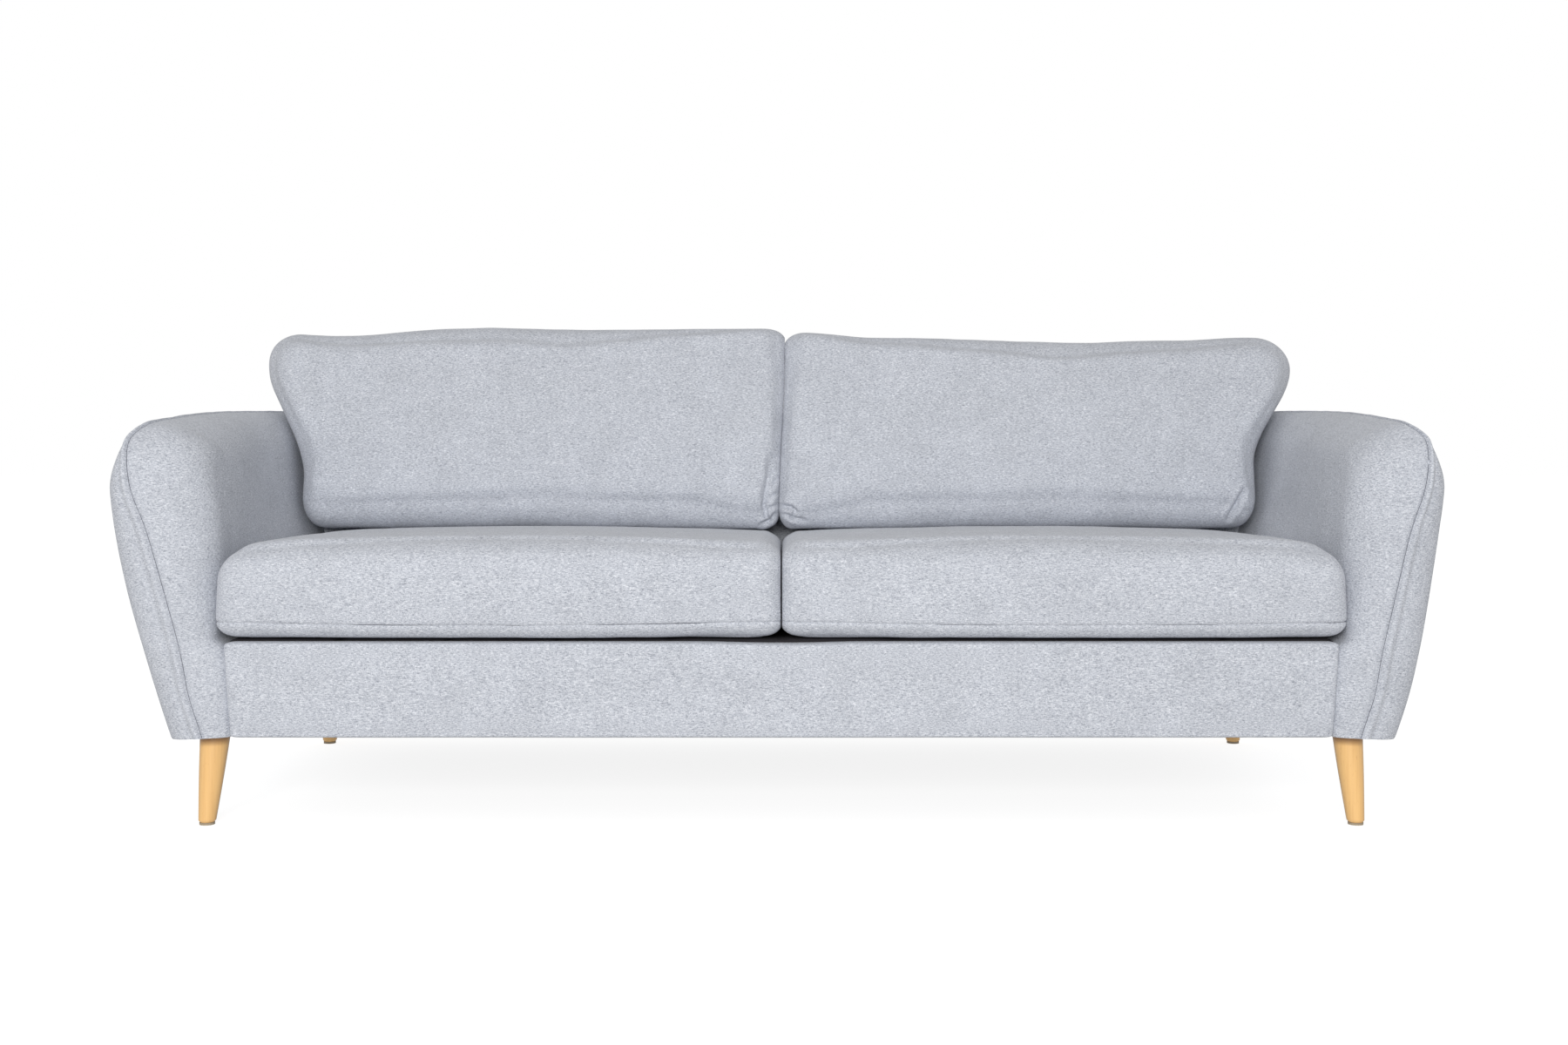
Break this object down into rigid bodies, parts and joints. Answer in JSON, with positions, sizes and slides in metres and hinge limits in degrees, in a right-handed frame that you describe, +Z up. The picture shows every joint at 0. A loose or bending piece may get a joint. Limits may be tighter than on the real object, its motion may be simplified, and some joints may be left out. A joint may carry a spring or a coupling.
{
  "type": "three-seat sofa with wooden legs",
  "caption": "Low upholstered sofa with flared padded arms, loose seat and back cushions in zipped covers, a sprung timber frame and tapered wooden legs.",
  "frame": {"origin": "on the floor, under the middle of the sofa's width and depth", "axes": "+X along the seat to the right as seen from the front, +Y from the front to the back, +Z up"},
  "size_m": [2.1638, 0.8799, 0.8535],
  "materials": {
    "upholstery": "matte",
    "lining": "matte",
    "leg_wood": "satin",
    "frame_timber": "matte",
    "steel": "satin",
    "filling": "matte",
    "webbing": "matte",
    "glide": "matte",
    "zip_metal": "satin"
  },
  "bodies": {
    "frame": {"arm_frame_left": "frame_timber", "arm_frame_right": "frame_timber", "arm_outer_pad_left": "upholstery", "arm_outer_pad_right": "upholstery", "arm_padding_left": "upholstery", "arm_padding_right": "upholstery", "back_outer_panel": "upholstery", "back_padding": "upholstery", "back_post_left": "frame_timber", "back_post_right": "frame_timber", "back_top_rail": "frame_timber", "back_webbing_lower": "webbing", "back_webbing_middle": "webbing", "back_webbing_upper": "webbing", "base_back_rail": "frame_timber", "base_cross_rail_left": "frame_timber", "base_cross_rail_right": "frame_timber", "base_front_rail": "frame_timber", "base_side_rail_left": "frame_timber", "base_side_rail_right": "frame_timber", "dust_cover": "lining", "front_apron": "upholstery", "leg_back_left": "leg_wood", "leg_back_right": "leg_wood", "leg_block_back_left": "frame_timber", "leg_block_back_right": "frame_timber", "leg_block_front_left": "frame_timber", "leg_block_front_right": "frame_timber", "leg_front_left": "leg_wood", "leg_front_right": "leg_wood", "leg_glide_back_left": "glide", "leg_glide_back_right": "glide", "leg_glide_front_left": "glide", "leg_glide_front_right": "glide", "leg_stud_back_left": "steel", "leg_stud_back_right": "steel", "leg_stud_front_left": "steel", "leg_stud_front_right": "steel", "seat_deck": "lining", "seat_spring_1": "steel", "seat_spring_2": "steel", "seat_spring_3": "steel", "seat_spring_4": "steel", "seat_spring_5": "steel", "seat_spring_6": "steel"},
    "back_cushion_left": {"back_cushion_cover_left": "upholstery", "back_cushion_fill_left": "filling"},
    "back_cushion_right": {"back_cushion_cover_right": "upholstery", "back_cushion_fill_right": "filling"},
    "back_zip_left": {"back_zip_slider_left": "zip_metal"},
    "back_zip_right": {"back_zip_slider_right": "zip_metal"},
    "seat_cushion_left": {"seat_cushion_core_left": "filling", "seat_cushion_cover_left": "upholstery"},
    "seat_cushion_right": {"seat_cushion_core_right": "filling", "seat_cushion_cover_right": "upholstery"},
    "seat_zip_left": {"seat_zip_slider_left": "zip_metal"},
    "seat_zip_right": {"seat_zip_slider_right": "zip_metal"}
  },
  "joints": [
    {"name": "seat_cushion_slide_left", "type": "slide", "parent": "frame", "child": "seat_cushion_left", "axis": [0, -0.9997, 0.0262], "range_m": [0, 0.68]},
    {"name": "back_cushion_lift_left", "type": "slide", "parent": "frame", "child": "back_cushion_left", "axis": [0, 0.2079, 0.9781], "range_m": [0, 0.42]},
    {"name": "seat_cushion_slide_right", "type": "slide", "parent": "frame", "child": "seat_cushion_right", "axis": [0, -0.9997, 0.0262], "range_m": [0, 0.68]},
    {"name": "back_cushion_lift_right", "type": "slide", "parent": "frame", "child": "back_cushion_right", "axis": [0, 0.2079, 0.9781], "range_m": [0, 0.42]},
    {"name": "seat_zip_pull_left", "type": "slide", "parent": "seat_cushion_left", "child": "seat_zip_left", "axis": [1, 0, 0], "range_m": [0, 0.5]},
    {"name": "seat_zip_pull_right", "type": "slide", "parent": "seat_cushion_right", "child": "seat_zip_right", "axis": [1, 0, 0], "range_m": [0, 0.5]},
    {"name": "back_zip_pull_left", "type": "slide", "parent": "back_cushion_left", "child": "back_zip_left", "axis": [1, 0, 0], "range_m": [0, 0.5]},
    {"name": "back_zip_pull_right", "type": "slide", "parent": "back_cushion_right", "child": "back_zip_right", "axis": [1, 0, 0], "range_m": [0, 0.5]}
  ]
}
